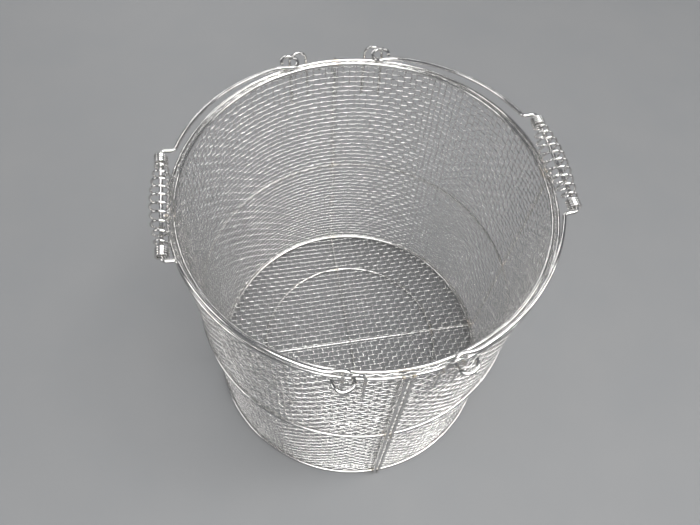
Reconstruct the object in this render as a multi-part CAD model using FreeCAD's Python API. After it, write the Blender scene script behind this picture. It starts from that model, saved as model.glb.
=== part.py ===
import FreeCAD, Part
import math
import os

# Round strainer basket of woven stainless wire, with two folding bail handles that carry
# spring-coil grips.
# Millimetres. +Z is up, +Y runs from front to back, and the origin is the point of the
# resting surface that lies under the middle of the basket. The seam is at the front.

# Driving dimensions of the basket
WALL_RADIUS = 165.0       # middle of the wall cloth
RIM_HEIGHT = 330.0        # top of the rim rings above the resting surface
HOOP_HEIGHT = 166.5       # middle hoop above the resting surface
FLOOR_RING_RADIUS = 111.0
CLOTH_THICKNESS = 2.0     # two crossing wires of the weave, one over the other
FRAME_WIRE = 3.0          # diameter of the rings, the ribs and the seam rod
WELD_GAP = 0.05           # wires that are welded to each other stay this far apart
RIM_CLOTH_DROP = 0.3      # edge of the cloth below the top of the rim rings
BASE_CLOTH_LOW = 3.6      # lower edge of the wall cloth above the resting surface

# Ribs and seam
CROSSING_FLAT = 35.0      # half length of the upper rib's raised run, where the ribs cross
CROSSING_RAMP = 25.0      # length of each slope that leads up to it
CROSSING_BEND = 60.0      # bend radius of the slopes
SEAM_PITCH = 5.0          # front leg of the rib to the seam rod
SEAM_ROD_LOW_END = 1.0    # foot of the seam rod above the resting surface
RIM_JOINT_PLAY = 1.5      # seam rod, and front rib, to the open ends of the rim's outer ring

# Lugs that carry the bails
LUG_WIRE = 2.5
HINGE_OFFSET = 38.0       # hinge axis of each bail from the middle of the basket
LUG_LEG_PITCH = 17.0
LUG_DEPTH = 45.0          # foot of the legs below the rim
LUG_ARCH_RISE = 2.5       # middle of the arch above the hinge axis
LUG_JOG_TOP = 4.5         # start of the step towards the cloth, below the rim
LUG_JOG_HEIGHT = 7.5
LUG_BEND = 6.0

# Bails
BAIL_WIRE = 3.5
BAIL_OUTSET = 2.5         # arc of the bail outside the middle of the wall cloth
BAIL_INCLINE = 6.0        # degrees above level, at rest
EYE_RADIUS = 8.0
EYE_SWEEP = 285.0         # degrees of the end eye
EYE_RUN_OUT = 30.0        # bend radius between the eye and the long arc
JOG = 11.5                # step from the long arc out to the rod of the grip
JOG_BEND = 4.0
REST_CLEARANCE = 0.3      # bail above the rim, and rod inside the coil

# Grip coils
COIL_WIRE = 2.0
COIL_LENGTH = 103.0
COIL_END_RADIUS = 4.9     # middle of the wire, in the close turns
COIL_MIDDLE_RADIUS = 9.5
COIL_CLOSE_TURNS = 3.5    # at each end
COIL_OPEN_TURNS = 10.5    # in the barrel between them
COIL_CLOSE_GAP = 0.15     # between two close turns
COIL_EASE_TURNS = 0.5     # turns over which the barrel opens out of the close turns
COIL_POINTS_PER_TURN = 12
COIL_END_PLAY = 2.2       # coil to the jog of the rod, at each end

# Derived sizes
wire_r = FRAME_WIRE / 2
lug_r = LUG_WIRE / 2
bail_r = BAIL_WIRE / 2
outer_face = WALL_RADIUS + CLOTH_THICKNESS / 2
inner_face = WALL_RADIUS - CLOTH_THICKNESS / 2
outer_ring_radius = outer_face + WELD_GAP + wire_r       # rings on the outside of the cloth
inner_ring_radius = inner_face - WELD_GAP - wire_r       # rings on its inside
ring_outside = outer_ring_radius + wire_r
rib_radius = ring_outside + WELD_GAP + wire_r            # ribs on the outside of the rings
rib_level = wire_r                                       # middle of the ribs under the floor
ring_level = rib_level + FRAME_WIRE + WELD_GAP           # rings that lie on those ribs
floor_low = ring_level + wire_r + WELD_GAP
floor_top = floor_low + CLOTH_THICKNESS
rim_level = RIM_HEIGHT - wire_r
hinge_height = RIM_HEIGHT + REST_CLEARANCE + bail_r
half_pitch = LUG_LEG_PITCH / 2
lug_distance = math.sqrt((ring_outside + WELD_GAP + lug_r) ** 2 - half_pitch ** 2)
lug_angle = math.degrees(math.asin(HINGE_OFFSET / lug_distance))
lug_y = math.sqrt(lug_distance ** 2 - HINGE_OFFSET ** 2)
bail_radius = WALL_RADIUS + BAIL_OUTSET
coil_sag = COIL_END_RADIUS - COIL_WIRE / 2 - bail_r - REST_CLEARANCE

UP = FreeCAD.Vector(0, 0, 1)
ORIGIN = FreeCAD.Vector(0, 0, 0)


def point(x, y, z):
    return FreeCAD.Vector(x, y, z)


def save(shape, name):
    shape.exportStep(os.path.join("parts", name + ".step"))
    print(name, shape.isValid(), len(shape.Solids), round(shape.Volume, 1))


def spin(shape, angle):
    """A copy of a shape, turned about the upright axis of the basket."""
    turned = shape.copy()
    turned.rotate(ORIGIN, UP, angle)
    return turned


def rounded_edges(points, radius):
    """Straight runs through the points, joined by tangent arcs."""
    edges = []
    start = points[0]
    for before, corner, after in zip(points, points[1:], points[2:]):
        arriving = (corner - before).normalize()
        leaving = (after - corner).normalize()
        half_turn = arriving.getAngle(leaving) / 2
        setback = radius * math.tan(half_turn)
        arc_start = corner - arriving * setback
        arc_end = corner + leaving * setback
        inward = (leaving - arriving).normalize()
        arc_middle = corner + inward * (radius / math.cos(half_turn) - radius)
        edges.append(Part.makeLine(start, arc_start))
        edges.append(Part.Arc(arc_start, arc_middle, arc_end).toShape())
        start = arc_end
    edges.append(Part.makeLine(start, points[-1]))
    return edges


def tube(edges, diameter, frenet=False):
    """A round wire swept along tangent edges, from the free end of the first edge."""
    path = Part.Wire(edges)
    first = path.OrderedEdges[0]
    start = first.valueAt(first.FirstParameter)
    heading = first.tangentAt(first.FirstParameter)
    profile = Part.Wire(Part.makeCircle(diameter / 2, start, heading))
    return path.makePipeShell([profile], True, frenet)


def ring(radius, height):
    return Part.makeTorus(radius, wire_r, point(0, 0, height), UP)


def disc(radius, low, high):
    return Part.makeCylinder(radius, high - low, point(0, 0, low), UP)


def wall_cloth():
    high = RIM_HEIGHT - RIM_CLOTH_DROP
    return disc(outer_face, BASE_CLOTH_LOW, high).cut(disc(inner_face, BASE_CLOTH_LOW, high))


def floor_cloth():
    return disc(inner_face - WELD_GAP, floor_low, floor_top)


def rim_inner_ring():
    return ring(inner_ring_radius, rim_level)


def rim_outer_ring():
    """A ring that is open at the seam, with the front rib and the seam rod in its gap."""
    gap = SEAM_PITCH + FRAME_WIRE + 2 * RIM_JOINT_PLAY
    half_gap = math.degrees(gap / 2 / outer_ring_radius)
    gap_middle = math.degrees(SEAM_PITCH / 2 / outer_ring_radius) - 90
    end = Part.makeCircle(wire_r, point(outer_ring_radius, 0, rim_level), point(0, 1, 0))
    face = Part.Face(Part.Wire(end))
    return spin(face.revolve(ORIGIN, UP, 360 - 2 * half_gap), gap_middle + half_gap)


def middle_hoop():
    return ring(outer_ring_radius, HOOP_HEIGHT)


def base_outer_ring():
    return ring(outer_ring_radius, ring_level)


def base_inner_ring():
    return ring(inner_ring_radius, floor_top + WELD_GAP + wire_r)


def floor_ring():
    return ring(FLOOR_RING_RADIUS, ring_level)


def mirrored_y(points):
    return [point(p.x, -p.y, p.z) for p in reversed(points)]


def rib(crosses_over):
    """A U-shaped wire along the Y axis: down the back, under the floor, up the front."""
    back_leg = [point(0, rib_radius, rim_level), point(0, rib_radius, rib_level)]
    bend = FRAME_WIRE + WELD_GAP
    if not crosses_over:
        return tube(rounded_edges(back_leg + mirrored_y(back_leg), bend), FRAME_WIRE)
    ramp = [point(0, CROSSING_FLAT + CROSSING_RAMP, rib_level),
            point(0, CROSSING_FLAT, ring_level)]
    back_leg.append(point(0, (rib_radius + ramp[0].y) / 2, rib_level))
    middle = [back_leg[-1]] + ramp + mirrored_y([back_leg[-1]] + ramp)
    edges = rounded_edges(back_leg, bend) + rounded_edges(middle, CROSSING_BEND)
    return tube(edges + rounded_edges(mirrored_y(back_leg), bend), FRAME_WIRE)


def seam_rod():
    y = -math.sqrt(rib_radius ** 2 - SEAM_PITCH ** 2)
    foot = point(SEAM_PITCH, y, SEAM_ROD_LOW_END)
    return Part.makeCylinder(wire_r, rim_level - SEAM_ROD_LOW_END, foot, UP)


def lug():
    """An inverted U that straddles the rim's outer ring, facing +Y."""
    on_cloth = math.sqrt((outer_face + WELD_GAP + lug_r) ** 2 - half_pitch ** 2)
    jog_top = RIM_HEIGHT - LUG_JOG_TOP
    arch_level = hinge_height + LUG_ARCH_RISE
    leg = [point(half_pitch, on_cloth, RIM_HEIGHT - LUG_DEPTH),
           point(half_pitch, on_cloth, jog_top - LUG_JOG_HEIGHT),
           point(half_pitch, lug_distance, jog_top),
           point(half_pitch, lug_distance, arch_level)]
    other_leg = [point(-p.x, p.y, p.z) for p in reversed(leg)]
    arch = Part.Arc(leg[-1], point(0, lug_distance, arch_level + half_pitch), other_leg[0])
    edges = rounded_edges(leg, LUG_BEND) + [arch.toShape()]
    return tube(edges + rounded_edges(other_leg, LUG_BEND), LUG_WIRE)


def rod_place():
    """Where the rod of the right grip runs: its x, and the half length of its straight."""
    half_straight = COIL_LENGTH / 2 + COIL_END_PLAY + bail_r - JOG_BEND
    corner = half_straight + JOG_BEND
    return math.sqrt(bail_radius ** 2 - corner ** 2) + JOG, half_straight


def bail_half():
    """Edges of the right bail's back half, laid level, from mid-rod to the end of the eye."""
    rod_x, half_straight = rod_place()
    jog_y = half_straight + JOG_BEND
    z = hinge_height
    eye_x = HINGE_OFFSET + EYE_RADIUS
    run_out_y = lug_y - EYE_RADIUS

    def arc(centre_x, centre_y, radius, first, last):
        """An arc in the plane of the bail, between two angles in degrees."""
        ends = [math.radians(a) for a in (first, (first + last) / 2, last)]
        return Part.Arc(*[point(centre_x + radius * math.cos(a),
                                centre_y + radius * math.sin(a), z) for a in ends]).toShape()

    corner_x = rod_x - JOG_BEND
    inner_y = jog_y + JOG_BEND
    inner_x = math.sqrt((bail_radius + JOG_BEND) ** 2 - inner_y ** 2)
    inner_angle = math.degrees(math.atan2(inner_y, inner_x))
    turn_y = run_out_y - EYE_RUN_OUT
    turn_x = math.sqrt((bail_radius - EYE_RUN_OUT) ** 2 - turn_y ** 2)
    turn_angle = math.degrees(math.atan2(turn_y, turn_x))
    return [Part.makeLine(point(rod_x, 0, z), point(rod_x, half_straight, z)),
            arc(corner_x, half_straight, JOG_BEND, 0, 90),
            Part.makeLine(point(corner_x, jog_y, z), point(inner_x, jog_y, z)),
            arc(inner_x, inner_y, JOG_BEND, 270, 180 + inner_angle),
            arc(0, 0, bail_radius, inner_angle, turn_angle),
            arc(turn_x, turn_y, EYE_RUN_OUT, turn_angle, 90),
            Part.makeLine(point(turn_x, run_out_y, z), point(eye_x, run_out_y, z)),
            arc(eye_x, lug_y, EYE_RADIUS, 270, 270 - EYE_SWEEP)]


def bail():
    """The right bail: two halves about the middle of its rod, tilted to its rest."""
    half = bail_half()
    back = tube(half, BAIL_WIRE)
    front = back.mirror(ORIGIN, point(0, 1, 0))
    whole = back.fuse(front).removeSplitter()
    whole.rotate(point(HINGE_OFFSET, 0, hinge_height), point(0, -1, 0), BAIL_INCLINE)
    return whole


def grip_coil():
    """The right grip: close turns at both ends and an open barrel between them."""
    turns = 2 * COIL_CLOSE_TURNS + COIL_OPEN_TURNS
    half_span = (COIL_LENGTH - COIL_WIRE) / 2
    close_pitch = COIL_WIRE + COIL_CLOSE_GAP

    def depth(turn):
        """Turns into the barrel from its nearer end, eased in over the first ones."""
        inside = max(0.0, min(turn, turns - turn) - COIL_CLOSE_TURNS)
        if inside < COIL_EASE_TURNS:
            return inside ** 2 / (2 * COIL_EASE_TURNS)
        return inside - COIL_EASE_TURNS / 2

    middle_depth = depth(turns / 2)
    stretch = (half_span - close_pitch * turns / 2) / middle_depth

    def along(turn):
        from_end = min(turn, turns - turn) * close_pitch + depth(turn) * stretch
        return from_end - half_span if turn < turns / 2 else half_span - from_end

    def radius(turn):
        swell = math.sin(math.pi / 2 * depth(turn) / middle_depth)
        return COIL_END_RADIUS + (COIL_MIDDLE_RADIUS - COIL_END_RADIUS) * swell

    rod_x = rod_place()[0] - HINGE_OFFSET
    incline = math.radians(BAIL_INCLINE)
    axis_x = HINGE_OFFSET + rod_x * math.cos(incline)
    axis_z = hinge_height + rod_x * math.sin(incline) - coil_sag
    places = []
    for i in range(round(turns * COIL_POINTS_PER_TURN) + 1):
        turn = i / COIL_POINTS_PER_TURN
        angle = 2 * math.pi * turn
        places.append(point(axis_x + radius(turn) * math.cos(angle), along(turn),
                            axis_z + radius(turn) * math.sin(angle)))
    curve = Part.BSplineCurve()
    curve.interpolate(places)
    return tube([curve.toShape()], COIL_WIRE, frenet=True)


os.makedirs("parts", exist_ok=True)

for make in (wall_cloth, floor_cloth, rim_inner_ring, rim_outer_ring, middle_hoop,
             base_outer_ring, base_inner_ring, floor_ring, seam_rod):
    save(make(), make.__name__)

save(rib(crosses_over=True), "rib_front_to_back")
save(spin(rib(crosses_over=False), 90), "rib_left_to_right")

for name, angle in (("back_left", lug_angle), ("back_right", -lug_angle),
                    ("front_left", 180 - lug_angle), ("front_right", 180 + lug_angle)):
    save(spin(lug(), angle), "lug_" + name)

for side, angle in (("right", 0), ("left", 180)):
    save(spin(bail(), angle), "bail_" + side)
    save(spin(grip_coil(), angle), "grip_coil_" + side)
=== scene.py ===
import math

import bpy
import numpy as np
from mathutils import Matrix, Vector


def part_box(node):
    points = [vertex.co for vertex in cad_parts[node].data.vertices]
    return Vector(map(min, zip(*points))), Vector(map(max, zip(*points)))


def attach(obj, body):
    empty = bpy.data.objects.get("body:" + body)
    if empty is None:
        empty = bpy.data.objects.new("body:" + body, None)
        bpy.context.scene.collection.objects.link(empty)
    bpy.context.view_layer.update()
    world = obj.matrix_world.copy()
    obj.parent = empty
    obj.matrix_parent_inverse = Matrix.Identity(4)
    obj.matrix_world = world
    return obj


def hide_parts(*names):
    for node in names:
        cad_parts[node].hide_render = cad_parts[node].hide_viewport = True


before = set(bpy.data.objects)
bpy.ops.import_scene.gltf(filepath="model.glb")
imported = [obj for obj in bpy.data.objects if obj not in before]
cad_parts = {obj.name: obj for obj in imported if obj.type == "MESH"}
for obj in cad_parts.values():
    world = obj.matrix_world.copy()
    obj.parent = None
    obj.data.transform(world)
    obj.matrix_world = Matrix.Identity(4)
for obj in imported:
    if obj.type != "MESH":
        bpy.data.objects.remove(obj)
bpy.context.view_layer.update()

# Everything is in metres. +Z is up, +Y runs from front to back, and the seam is at the front.

# The woven cloth
MESH_WIRE = 0.0010            # diameter of the wires of the weave
MESH_PITCH = 0.00635          # four openings to the inch
MESH_SIDES = 6                # sides of each thin wire
STEPS_PER_PITCH = 4           # points along a thin wire from one crossing to the next
WIRE_JITTER = 0.00022         # how far a wire usually lies from its even spacing
LAP_SHIFT = MESH_WIRE * 1.05  # at the lap seam, the wires of the two layers lie side by side
LAP_BEFORE = 1.35             # pitches by which the rounds start before upright number 0
LAP_AFTER = LAP_BEFORE / 4    # pitches by which the rounds run past the last upright
LAP_OFFSET = 0.0025           # puts the lap between the front rib and the seam rod
WALL_SLACK = 0.0007           # how far the wall strays between its rings
FLOOR_SLACK = 0.0006          # how far the floor strays inside its edge
CUT_SPREAD = 0.00035          # unevenness of the cut wire ends
PRESSED_WIDER = 0.45          # share by which the rim rings press the upright wires wider
UPRIGHT_PIECES = 4            # the uprights of the wall are joined into this many pieces
ROUND_PIECES = 4              # and its rounds into this many

# Slow waves of the cloth: radians for each unit of a first and a second coordinate, start, share.
# The coordinates are the angle and the height on the wall, and x and y on the floor.
WALL_RIPPLE = ((3, 21, 0.0, 1.0), (7, -34, 1.0, 0.6), (13, 47, 2.0, 0.5))
WALL_DRIFT = ((5, 16, 0.7, 1.0), (9, -27, 2.4, 1.0))
WALL_LIFT = ((4, 11, 1.9, 1.0), (11, 23, 0.0, 1.0))
FLOOR_WAVE = ((38, 17, 0.0, 1.0), (-21, 29, 1.3, 1.0))
FLOOR_WANDER = ((44, -31, 0.4, 1.0), (25, 52, 2.2, 1.0))

# The weld beads
BEAD_LENGTH = 0.0011          # half length of a bead, along the gap that it fills
BEAD_HEIGHT = 0.0008
BEAD_UNEVEN = 0.12
BEAD_ROWS = 9
BEAD_COLUMNS = 14
END_BEAD = 1.5                # the beads at the open ends of the rim ring are this much larger
END_BEAD_DEPTH = 0.25         # how deep they sit in the ring, as a share of its wire

rng = np.random.default_rng(7)


# ---------------------------------------------------------------- places from the frame

def middle(node, axis):
    low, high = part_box(node)
    return (low[axis] + high[axis]) / 2


wall_low, wall_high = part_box("wall_cloth")
wall_radius = wall_high.x - MESH_WIRE
rim_level = middle("rim_outer_ring", 2)
hoop_level = middle("middle_hoop", 2)
base_level = middle("base_outer_ring", 2)
floor_level = middle("floor_cloth", 2)
floor_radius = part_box("floor_cloth")[1].x
floor_ring_low, floor_ring_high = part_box("floor_ring")
frame_wire = floor_ring_high.z - floor_ring_low.z
floor_ring_radius = floor_ring_high.x - frame_wire / 2
ring_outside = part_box("rim_outer_ring")[1].x
rib_wire_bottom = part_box("rib_left_to_right")[0].z
rib_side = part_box("rib_front_to_back")[0].x
rod_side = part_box("seam_rod")[1].x


# ---------------------------------------------------------------- mesh helpers

def make_object(name, verts, faces, smooth=True):
    mesh = bpy.data.meshes.new(name)
    mesh.from_pydata(verts, [], faces)
    mesh.validate()
    mesh.polygons.foreach_set("use_smooth", [smooth and len(face) == 4 for face in faces])
    mesh.update()
    thing = bpy.data.objects.new(name, mesh)
    bpy.context.scene.collection.objects.link(thing)
    return thing


def tube_mesh(path, side, radius, sides, widen=1.0):
    """Verts and faces of a closed wire along a path. side is square to the wire at each point, and
    widen is how much wider the wire is that way than the other."""
    widen = np.broadcast_to(widen, len(path))[:, None, None]
    along = np.gradient(path, axis=0)
    along /= np.linalg.norm(along, axis=1, keepdims=True)
    side = side - along * np.sum(side * along, axis=1, keepdims=True)
    side /= np.linalg.norm(side, axis=1, keepdims=True)
    other = np.cross(along, side)
    turn = np.arange(sides) * 2 * math.pi / sides
    loops = (path[:, None, :]
             + radius * widen * np.cos(turn)[None, :, None] * side[:, None, :]
             + radius * np.sin(turn)[None, :, None] * other[:, None, :])
    count = len(path)
    first = np.arange(count - 1)[:, None] * sides
    here = first + np.arange(sides)
    after = first + (np.arange(sides) + 1) % sides
    quads = np.stack([here, after, after + sides, here + sides], axis=2)
    faces = [tuple(quad) for quad in quads.reshape(-1, 4).tolist()]
    faces.append(tuple(range(sides - 1, -1, -1)))
    faces.append(tuple(range((count - 1) * sides, count * sides)))
    return loops.reshape(-1, 3), faces


def join_wires(name, wires):
    """One object from several wires, each given as its verts and its faces."""
    verts, faces, start = [], [], 0
    for wire_verts, wire_faces in wires:
        verts.append(wire_verts)
        faces.extend(tuple(start + i for i in face) for face in wire_faces)
        start += len(wire_verts)
    return make_object(name, np.concatenate(verts).tolist(), faces)


def waves(terms, first, second):
    """A sum of sine waves over two coordinates, between -1 and 1."""
    total = 0
    shares = 0
    for by_first, by_second, start, share in terms:
        total = total + share * np.sin(by_first * first + by_second * second + start)
        shares += share
    return total / shares


def steps_between(first, last):
    """Places along a thin wire, counted in pitches."""
    count = max(2, round((last - first) * STEPS_PER_PITCH) + 1)
    return np.linspace(first, last, count)


# ---------------------------------------------------------------- the wall cloth

round_count = round((rim_level - base_level) / MESH_PITCH) + 1
round_pitch = (rim_level - base_level) / (round_count - 1)
upright_count = 2 * round(math.pi * wall_radius / MESH_PITCH)
upright_turn = (2 * math.pi - LAP_SHIFT / wall_radius) / upright_count
first_angle = -math.pi / 2 + LAP_OFFSET / wall_radius - LAP_BEFORE * upright_turn / 2

upright_order = np.arange(-1, upright_count + 1)
upright_place = upright_order + rng.normal(0, WIRE_JITTER / MESH_PITCH, len(upright_order))
round_order = np.arange(round_count)
round_place = round_order + rng.normal(0, WIRE_JITTER / MESH_PITCH, round_count)
round_place[[0, -1]] = round_order[[0, -1]]


def warp(order, place, value):
    """Evenly counted wires to where they really lie, also a little past the first and last one."""
    inside = np.interp(value, order, place)
    return inside + np.minimum(value - order[0], 0) + np.maximum(value - order[-1], 0)


def between_rings(z):
    """0 where a ring holds the wall, 1 midway between two rings."""
    lower = np.clip((z - base_level) / (hoop_level - base_level), 0, 1)
    upper = np.clip((z - hoop_level) / (rim_level - hoop_level), 0, 1)
    return np.where(z < hoop_level, np.sin(math.pi * lower) ** 2, np.sin(math.pi * upper) ** 2)


def wall_points(across, up, crimp):
    """Places on the wall, for counts of uprights and rounds, crimp standing out from its middle.
    On its way round, a wire climbs by LAP_SHIFT, so that at the lap it lies beside its own start."""
    angle = first_angle + warp(upright_order, upright_place, across) * upright_turn
    z = base_level + warp(round_order, round_place, up) * round_pitch
    z = z + (across / upright_count - 0.5) * LAP_SHIFT
    loose = between_rings(z)
    radius = wall_radius + crimp + waves(WALL_RIPPLE, angle, z) * loose * WALL_SLACK
    drift = waves(WALL_DRIFT, angle, z) * loose * WALL_SLACK / wall_radius
    lift = waves(WALL_LIFT, angle, z) * loose * WALL_SLACK
    angle = angle + drift
    z = z + lift
    return np.stack([radius * np.cos(angle), radius * np.sin(angle), z], axis=1), angle


def upright_wire(index):
    low = (wall_low.z - base_level) / round_pitch
    high = (wall_high.z - base_level - CUT_SPREAD) / round_pitch
    low_cut, high_cut = rng.uniform(-CUT_SPREAD, CUT_SPREAD, 2) / round_pitch
    up = steps_between(low + abs(low_cut), high - abs(high_cut))
    crimp = MESH_WIRE / 2 * (-1) ** index * np.cos(math.pi * up)
    path, angle = wall_points(np.full(len(up), float(index)), up, crimp)
    side = np.stack([-np.sin(angle), np.cos(angle), np.zeros(len(up))], axis=1)
    pressed = np.clip((path[:, 2] - rim_level) / frame_wire + 1, 0, 1) * PRESSED_WIDER
    return tube_mesh(path, side, MESH_WIRE / 2, MESH_SIDES, 1 + pressed)


def round_wire(index):
    first_cut, last_cut = rng.uniform(-CUT_SPREAD, CUT_SPREAD, 2) / MESH_PITCH
    across = steps_between(-LAP_BEFORE + first_cut, upright_count + LAP_AFTER + last_cut)
    crimp = -MESH_WIRE / 2 * (-1) ** index * np.cos(math.pi * across)
    path, _ = wall_points(across, np.full(len(across), float(index)), crimp)
    side = np.tile([0.0, 0.0, 1.0], (len(across), 1))
    return tube_mesh(path, side, MESH_WIRE / 2, MESH_SIDES)


def wall_pieces():
    uprights = [upright_wire(i) for i in upright_order.tolist()]
    rounds = [round_wire(j) for j in round_order.tolist()]
    pieces = []
    for kind, wires, parts in (("uprights", uprights, UPRIGHT_PIECES),
                               ("rounds", rounds, ROUND_PIECES)):
        ends = np.linspace(0, len(wires), parts + 1).round().astype(int).tolist()
        for number, (start, end) in enumerate(zip(ends, ends[1:]), 1):
            pieces.append(join_wires(f"wall_{kind}_{number}", wires[start:end]))
    return pieces


# ---------------------------------------------------------------- the floor cloth

def floor_wire(index, along_x):
    """One wire of the floor, cut where it meets the wall. It strays least at the floor's edge."""
    offset = index * MESH_PITCH
    half = math.sqrt(floor_radius ** 2 - (abs(offset) + MESH_WIRE / 2) ** 2)
    cuts = rng.uniform(0, CUT_SPREAD, 2)
    run = steps_between((cuts[0] - half) / MESH_PITCH, (half - cuts[1]) / MESH_PITCH)
    sign = 1 if along_x else -1
    crimp = sign * MESH_WIRE / 2 * (-1) ** index * np.cos(math.pi * run)
    run = run * MESH_PITCH
    still = np.full(len(run), offset)
    x, y = (run, still) if along_x else (still, run)
    loose = 1 - ((x ** 2 + y ** 2) / floor_radius ** 2) ** 2
    wave = waves(FLOOR_WAVE, x, y)
    wander = waves(FLOOR_WANDER, x, y)
    z = floor_level + crimp + (wave + 1) / 2 * loose * FLOOR_SLACK
    x = x + wander * loose * FLOOR_SLACK
    y = y + wave * loose * FLOOR_SLACK
    side = np.tile([0.0, 1.0, 0.0] if along_x else [1.0, 0.0, 0.0], (len(run), 1))
    return tube_mesh(np.stack([x, y, z], axis=1), side, MESH_WIRE / 2, MESH_SIDES)


def floor_pieces():
    last = int((floor_radius - 2 * MESH_WIRE) / MESH_PITCH)
    pieces = []
    for name, along_x in (("left_to_right", True), ("front_to_back", False)):
        wires = [floor_wire(i, along_x) for i in range(-last, last + 1)]
        pieces.append(join_wires("floor_wires_" + name, wires))
    return pieces


# ---------------------------------------------------------------- weld beads

def bead(place, outward, along, larger=1.0):
    """A small uneven lump of weld metal between two wires that touch."""
    outward = np.array(outward, float)
    along = np.array(along, float)
    third = np.cross(outward, along)
    tilt = np.linspace(0, math.pi, BEAD_ROWS)[1:-1]
    turn = np.arange(BEAD_COLUMNS) * 2 * math.pi / BEAD_COLUMNS
    lumps = 1 + rng.uniform(-BEAD_UNEVEN, BEAD_UNEVEN, (len(tilt), BEAD_COLUMNS))
    reach = np.sin(tilt)[:, None]
    lengthways = BEAD_LENGTH * reach * np.cos(turn) * lumps
    sideways = BEAD_LENGTH * reach * np.sin(turn) * lumps
    out = BEAD_HEIGHT * np.cos(tilt)[:, None] * lumps
    shell = lengthways[..., None] * along + sideways[..., None] * third + out[..., None] * outward
    shell = shell.reshape(-1, 3)
    ends = [outward * BEAD_HEIGHT, -outward * BEAD_HEIGHT]
    verts = larger * np.concatenate([shell, ends]) + np.array(place)
    faces = []
    top = len(shell)
    bottom = top + 1
    last = (len(tilt) - 1) * BEAD_COLUMNS
    for row in range(0, last, BEAD_COLUMNS):
        below = row + BEAD_COLUMNS
        for i in range(BEAD_COLUMNS):
            j = (i + 1) % BEAD_COLUMNS
            faces.append((row + j, row + i, below + i, below + j))
    for i in range(BEAD_COLUMNS):
        j = (i + 1) % BEAD_COLUMNS
        faces.append((top, i, j))
        faces.append((bottom, last + j, last + i))
    return verts, faces


def weld_beads():
    """Beads where the ribs cross the rings and each other, and at the rim ring's open ends."""
    beads = []
    crossings = [(level, angle) for level in (rim_level, hoop_level, base_level)
                 for angle in (0, 90, 180, 270)]
    crossings.remove((rim_level, 270))      # here the rim ring is open, and has the two end beads
    for level, angle in crossings:
        x, y = math.cos(math.radians(angle)), math.sin(math.radians(angle))
        beads.append(bead((ring_outside * x, ring_outside * y, level), (x, y, 0), (0, 0, 1)))
    for x in (rib_side, rod_side):
        place = (x, -(ring_outside - frame_wire * END_BEAD_DEPTH), rim_level)
        beads.append(bead(place, (0, -1, 0), (1, 0, 0), END_BEAD))
    for x, y in ((1, 0), (-1, 0), (0, 1), (0, -1), (0, 0)):
        place = (floor_ring_radius * x, floor_ring_radius * y, rib_wire_bottom + frame_wire)
        beads.append(bead(place, (0, 0, 1), (1, 0, 0)))
    return join_wires("weld_beads", beads)


# ---------------------------------------------------------------- materials

BRIGHT = (0.86, 0.85, 0.83)
DULL = (0.60, 0.59, 0.57)
STRAW = (0.66, 0.53, 0.36)
BLUED = (0.36, 0.34, 0.40)

# A range is the part of a noise, which runs from 0 to 1, over which a mark comes in.
CLOUD_RANGE = (0.35, 0.7)     # from bright steel to dull
SPECK_RANGE = (0.55, 0.8)
SPECK_STRENGTH = 0.35
POLISH_RANGE = (0.35, 0.65)   # from the smoothest to the roughest place of a steel
CLOUD_SHARE = 0.6             # of the clouds in the roughness, the specks being the rest
PATCH_RANGE = (0.3, 0.65)     # patches in the tint beside a weld
PATCH_LEAST = 0.35            # the tint that is left between them
PATCH_FINER = 4               # they are this much finer than the clouds
TINT_STRENGTH = 0.5
BLUE_RANGE = (0.6, 1.0)       # the strongest part of the tint, which is blued
TINT_ROUGHER = 0.14           # what the tint adds to the roughness
WELD_REACH = 0.009            # how far the tint reaches from a weld
LUG_WELD_REACH = 0.006
GRAIN_FINER = 2               # the bumps are this much finer than the specks
GRAIN_BUMP = 0.15
GRAIN_HEIGHT = 0.00001

BEAD_GRAIN = 1600             # specks to a metre
BEAD_SPECK_RANGE = (0.35, 0.65)
BEAD_POLISH_RANGE = (0.3, 0.7)
BEAD_ROUGHNESS = (0.3, 0.55)
BEAD_BUMP = 0.6
BEAD_BUMP_HEIGHT = 0.0002


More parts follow.
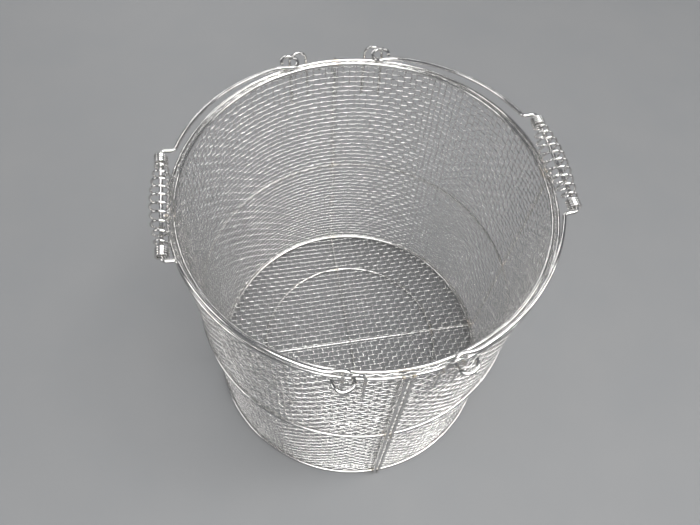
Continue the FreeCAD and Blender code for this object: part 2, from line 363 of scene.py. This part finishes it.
class Nodes:
    """A short way to add and link shader nodes."""

    def __init__(self, name):
        self.material = bpy.data.materials.new(name)
        self.material.use_nodes = True
        self.tree = self.material.node_tree
        self.shader = self.tree.nodes["Principled BSDF"]
        self.place = self.add("ShaderNodeTexCoord").outputs["Object"]

    def add(self, kind, **values):
        node = self.tree.nodes.new(kind)
        for key, value in values.items():
            setattr(node, key, value)
        return node

    def link(self, source, target):
        if isinstance(source, (int, float)):
            target.default_value = source
        else:
            self.tree.links.new(source, target)

    def noise(self, scale, detail=4.0):
        node = self.add("ShaderNodeTexNoise")
        node.inputs["Scale"].default_value = scale
        node.inputs["Detail"].default_value = detail
        self.link(self.place, node.inputs["Vector"])
        return node.outputs["Fac"]

    def spread(self, source, low, high, new_low=0.0, new_high=1.0):
        """The source from low to high, made to run from new_low to new_high."""
        node = self.add("ShaderNodeMapRange")
        self.link(source, node.inputs["Value"])
        limits = {"From Min": low, "From Max": high, "To Min": new_low, "To Max": new_high}
        for key, value in limits.items():
            node.inputs[key].default_value = value
        return node.outputs["Result"]

    def math(self, operation, first, second=0.0):
        node = self.add("ShaderNodeMath", operation=operation)
        self.link(first, node.inputs[0])
        self.link(second, node.inputs[1])
        return node.outputs[0]

    def mix(self, amount, first, second):
        node = self.add("ShaderNodeMix", data_type="RGBA")
        self.link(amount, node.inputs["Factor"])
        for source, target in ((first, node.inputs["A"]), (second, node.inputs["B"])):
            if isinstance(source, tuple):
                target.default_value = (*source, 1)
            else:
                self.link(source, target)
        return node.outputs["Result"]

    def near(self, places, reach):
        """1 where an object coordinate is at one of the places, 0 at reach from it."""
        split = self.add("ShaderNodeSeparateXYZ")
        self.link(self.place, split.inputs[0])
        nearest = None
        for axis, value in places:
            gap = self.math("ABSOLUTE", self.math("SUBTRACT", split.outputs[axis], value))
            nearest = gap if nearest is None else self.math("MINIMUM", nearest, gap)
        return self.spread(nearest, 0, reach, 1, 0)

    def surface(self, colour, roughness, metallic):
        self.link(colour, self.shader.inputs["Base Color"])
        self.link(roughness, self.shader.inputs["Roughness"])
        self.shader.inputs["Metallic"].default_value = metallic

    def bump(self, height, strength, distance):
        node = self.add("ShaderNodeBump")
        node.inputs["Strength"].default_value = strength
        node.inputs["Distance"].default_value = distance
        self.link(height, node.inputs["Height"])
        self.link(node.outputs["Normal"], self.shader.inputs["Normal"])


def steel(name, roughness, marks, grain, welds=(), weld_reach=WELD_REACH):
    """Stainless wire: cloudy polish, fine specks, and straw and blue tint beside its welds.
    roughness is the least and the most, and marks and grain are clouds and specks to a metre."""
    nodes = Nodes(name)
    clouds = nodes.noise(marks, detail=3.0)
    specks = nodes.noise(grain, detail=6.0)
    colour = nodes.mix(nodes.spread(clouds, *CLOUD_RANGE), BRIGHT, DULL)
    speckled = nodes.math("MULTIPLY", nodes.spread(specks, *SPECK_RANGE), SPECK_STRENGTH)
    colour = nodes.mix(speckled, colour, DULL)
    marked = nodes.math("ADD", nodes.math("MULTIPLY", clouds, CLOUD_SHARE),
                        nodes.math("MULTIPLY", specks, 1 - CLOUD_SHARE))
    rough = nodes.spread(marked, *POLISH_RANGE, *roughness)
    if welds:
        heat = nodes.near(welds, weld_reach)
        patches = nodes.spread(nodes.noise(marks * PATCH_FINER), *PATCH_RANGE, PATCH_LEAST)
        tint = nodes.math("MULTIPLY", heat, patches)
        colour = nodes.mix(nodes.math("MULTIPLY", tint, TINT_STRENGTH), colour, STRAW)
        blue = nodes.math("MULTIPLY", nodes.spread(tint, *BLUE_RANGE), TINT_STRENGTH)
        colour = nodes.mix(blue, colour, BLUED)
        rough = nodes.math("ADD", rough, nodes.math("MULTIPLY", tint, TINT_ROUGHER))
    nodes.surface(colour, rough, metallic=1.0)
    nodes.bump(nodes.noise(grain * GRAIN_FINER, detail=2.0), GRAIN_BUMP, GRAIN_HEIGHT)
    return nodes.material


def weld_metal():
    """Rough weld metal, as dull as the wire's dull places, with specks of straw colour."""
    nodes = Nodes("weld_metal")
    specks = nodes.noise(BEAD_GRAIN, detail=5.0)
    colour = nodes.mix(nodes.spread(specks, *BEAD_SPECK_RANGE), DULL, STRAW)
    nodes.surface(colour, nodes.spread(specks, *BEAD_POLISH_RANGE, *BEAD_ROUGHNESS), metallic=1.0)
    nodes.bump(specks, BEAD_BUMP, BEAD_BUMP_HEIGHT)
    return nodes.material


def dress(thing, material):
    """The material of a CAD node or of a new piece."""
    if thing.material_slots:
        for slot in thing.material_slots:
            slot.material = material
    else:
        thing.data.materials.append(material)


def dress_frame():
    rings = steel("ring_steel", roughness=(0.08, 0.22), marks=160, grain=1400,
                  welds=(("X", 0.0), ("Y", 0.0)))
    ribs = steel("rib_steel", roughness=(0.12, 0.28), marks=160, grain=1400,
                 welds=(("Z", hoop_level),))
    lugs = steel("lug_steel", roughness=(0.08, 0.24), marks=200, grain=1500,
                 welds=(("Z", rim_level),), weld_reach=LUG_WELD_REACH)
    bails = steel("bail_steel", roughness=(0.06, 0.18), marks=90, grain=1200)
    coils = steel("coil_steel", roughness=(0.05, 0.14), marks=120, grain=1300)
    by_first_word = {"rib": ribs, "seam": ribs, "lug": lugs, "bail": bails, "grip": coils}
    for name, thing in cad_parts.items():
        dress(thing, by_first_word.get(name.split("_")[0], rings))


# ---------------------------------------------------------------- the studio

CAMERA_PLACE = (-0.0807, -0.3056, 0.7436)
CAMERA_FORWARD = (0.1171, 0.4952, -0.8608)
CAMERA_UP = (0.123, 0.8529, 0.5074)
CAMERA_LENS = 30.74           # in millimetres, as is its sensor
CAMERA_SENSOR = 36.0
CAMERA_NEAREST = 0.01         # nothing nearer than this is shown

# A wide soft sky light, which reaches the whole ground evenly
SUN_PLACE = (0, 0, 0)         # where a sun stands makes no difference
SUN_TOWARDS = (0.1, -0.3, 1.0)
SUN_ANGLE = 0.7
SUN_STRENGTH = 1.8

# Softboxes, all aimed at the middle of the basket: name, place, width and height, power
SOFTBOXES = (
    ("key", (0.25, -0.5, 1.95), (2.2, 0.6), 13),
    ("small", (0.75, -0.2, 2.1), (0.3, 0.3), 7),
    ("right", (1.75, -0.5, 1.35), (0.8, 0.8), 7),
    ("left", (-1.75, -0.3, 1.35), (0.8, 0.8), 7),
    ("front", (-0.5, -2.1, 1.2), (1.3, 0.5), 8),
    ("back", (-0.1, 1.4, 2.0), (1.5, 0.15), 4),
    ("back_low", (-0.3, 2.1, 0.9), (1.2, 0.35), 6),
)

WORLD_COLOUR = (0.9, 0.93, 1.0, 1)
WORLD_STRENGTH = 0.16

GROUND_HALF = 30.0            # half of each side
GROUND_COLOURS = ((0.215, 0.22, 0.225), (0.24, 0.24, 0.24))
GROUND_SPECKS = 9             # to a metre
GROUND_ROUGHNESS = 0.6


def add_camera():
    data = bpy.data.cameras.new("camera")
    data.lens = CAMERA_LENS
    data.sensor_width = CAMERA_SENSOR
    data.clip_start = CAMERA_NEAREST
    camera = bpy.data.objects.new("camera", data)
    back = -Vector(CAMERA_FORWARD).normalized()
    right = Vector(CAMERA_UP).cross(back).normalized()
    up = back.cross(right)
    camera.matrix_world = (Matrix.Translation(CAMERA_PLACE)
                           @ Matrix((right, up, back)).transposed().to_4x4())
    bpy.context.scene.collection.objects.link(camera)
    bpy.context.scene.camera = camera


def hang_light(name, data, place, towards):
    """A light at a place. towards is the direction that its light comes from."""
    light = bpy.data.objects.new(name, data)
    light.location = place
    light.rotation_euler = towards.to_track_quat("Z", "Y").to_euler()
    bpy.context.scene.collection.objects.link(light)


def add_sun():
    data = bpy.data.lights.new("sun", "SUN")
    data.angle = SUN_ANGLE
    data.energy = SUN_STRENGTH
    hang_light("sun", data, SUN_PLACE, Vector(SUN_TOWARDS))


def add_softbox(name, place, size, power):
    data = bpy.data.lights.new(name, "AREA")
    data.shape = "RECTANGLE"
    data.size, data.size_y = size
    data.energy = power
    hang_light(name, data, place, Vector(place) - Vector((0, 0, wall_high.z / 2)))


def add_ground():
    half = GROUND_HALF
    verts = [(-half, -half, 0), (half, -half, 0), (half, half, 0), (-half, half, 0)]
    floor = make_object("studio_floor", verts, [(0, 1, 2, 3)], smooth=False)
    nodes = Nodes("studio_floor")
    colour = nodes.mix(nodes.noise(GROUND_SPECKS, detail=2.0), *GROUND_COLOURS)
    nodes.surface(colour, GROUND_ROUGHNESS, metallic=0.0)
    dress(floor, nodes.material)


def add_studio():
    add_sun()
    for softbox in SOFTBOXES:
        add_softbox(*softbox)
    world = bpy.data.worlds.new("studio")
    world.use_nodes = True
    background = world.node_tree.nodes["Background"]
    background.inputs["Color"].default_value = WORLD_COLOUR
    background.inputs["Strength"].default_value = WORLD_STRENGTH
    bpy.context.scene.world = world
    bpy.context.scene.view_settings.view_transform = "Standard"


# ---------------------------------------------------------------- putting it together

add_camera()
add_studio()
add_ground()

cloth_steel = steel("cloth_steel", roughness=(0.14, 0.28), marks=140, grain=1500)
for piece in wall_pieces():
    dress(piece, cloth_steel)
    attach(piece, "basket")
    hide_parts("wall_cloth")
for piece in floor_pieces():
    dress(piece, cloth_steel)
    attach(piece, "basket")
    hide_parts("floor_cloth")

beads = weld_beads()
dress(beads, weld_metal())
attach(beads, "basket")

dress_frame()
